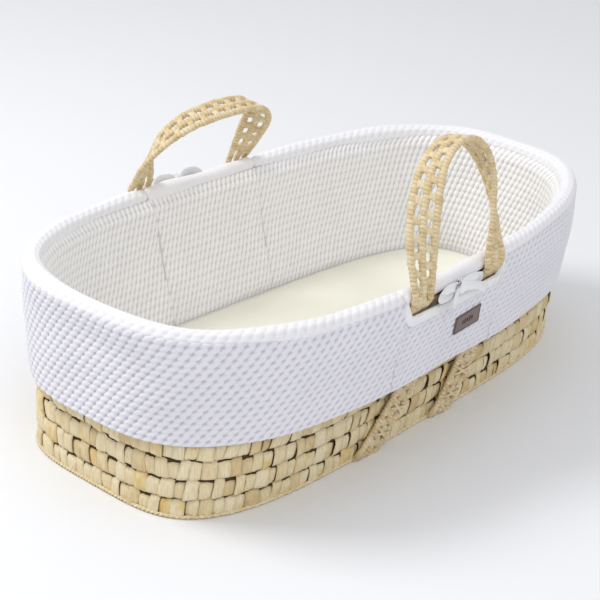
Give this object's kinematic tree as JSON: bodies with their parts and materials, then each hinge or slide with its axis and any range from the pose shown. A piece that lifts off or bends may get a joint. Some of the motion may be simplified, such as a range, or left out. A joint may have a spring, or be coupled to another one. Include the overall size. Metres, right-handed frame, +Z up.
{
  "type": "moses basket",
  "caption": "Oval woven palm carrying basket with two loop handles, a padded knitted dressing over its rim, and a sheeted foam mattress inside.",
  "frame": {"origin": "middle of the base, on the floor that the basket stands on", "axes": "+Z up; +X along the basket, towards its narrower end; -Y towards the long side that carries the label"},
  "size_m": [0.8114, 0.4549, 0.3931],
  "materials": {
    "palm_weave": "plaited dry palm leaf, straw coloured, matt",
    "palm_cord": "palm leaf wrapped round cords, slightly shiny",
    "knit": "chunky white knit with slanted stitches",
    "knit_roll": "the same white knit, drawn over a padded roll",
    "jersey": "smooth white jersey",
    "sheet": "plain cream jersey sheet",
    "foam": "foam pad",
    "label": "taupe woven label with an embossed plain mark"
  },
  "bodies": {
    "basket": {"far_slit_facing": "jersey", "far_tie_bow": "jersey", "foot_strap": "palm_cord", "head_strap": "palm_cord", "label": "label", "lining_far_side": "knit", "lining_floor": "jersey", "lining_foot_end": "knit", "lining_head_end": "knit", "lining_near_side": "knit", "near_slit_facing": "jersey", "near_tie_bow": "jersey", "rim_border": "palm_weave", "roll_far_side": "knit_roll", "roll_foot_end": "knit_roll", "roll_head_end": "knit_roll", "roll_near_side": "knit_roll", "skirt_far_side": "knit", "skirt_foot_end": "knit", "skirt_head_end": "knit", "skirt_near_side": "knit", "strap_lashings": "palm_cord", "wall_row_1": "palm_weave", "wall_row_2": "palm_weave", "wall_row_3": "palm_weave", "wall_row_4": "palm_weave", "wall_row_5": "palm_weave", "wall_row_6": "palm_weave", "wall_row_7": "palm_weave", "wall_row_8": "palm_weave", "woven_base": "palm_weave"},
    "near_handle": {"near_handle_inner_cord": "palm_cord", "near_handle_middle_cord": "palm_cord", "near_handle_outer_cord": "palm_cord", "near_handle_ties": "palm_cord"},
    "far_handle": {"far_handle_inner_cord": "palm_cord", "far_handle_middle_cord": "palm_cord", "far_handle_outer_cord": "palm_cord", "far_handle_ties": "palm_cord"},
    "mattress": {"fitted_sheet": "sheet", "mattress_core": "foam"}
  },
  "joints": [
    {"name": "near_handle_swing", "type": "hinge", "parent": "basket", "child": "near_handle", "pos_m": [-0.01703, -0.22112, 0.22679], "axis": [-0.9993, -0.0362, 0.0018], "range_deg": [-112, 26.5]},
    {"name": "far_handle_swing", "type": "hinge", "parent": "basket", "child": "far_handle", "pos_m": [-0.02161, 0.2209, 0.22691], "axis": [0.9994, -0.0337, -0.0023], "range_deg": [-130, 10]},
    {"name": "mattress_lift", "type": "slide", "parent": "basket", "child": "mattress", "axis": [0, 0, 1], "range_m": [0, 0.218]}
  ]
}
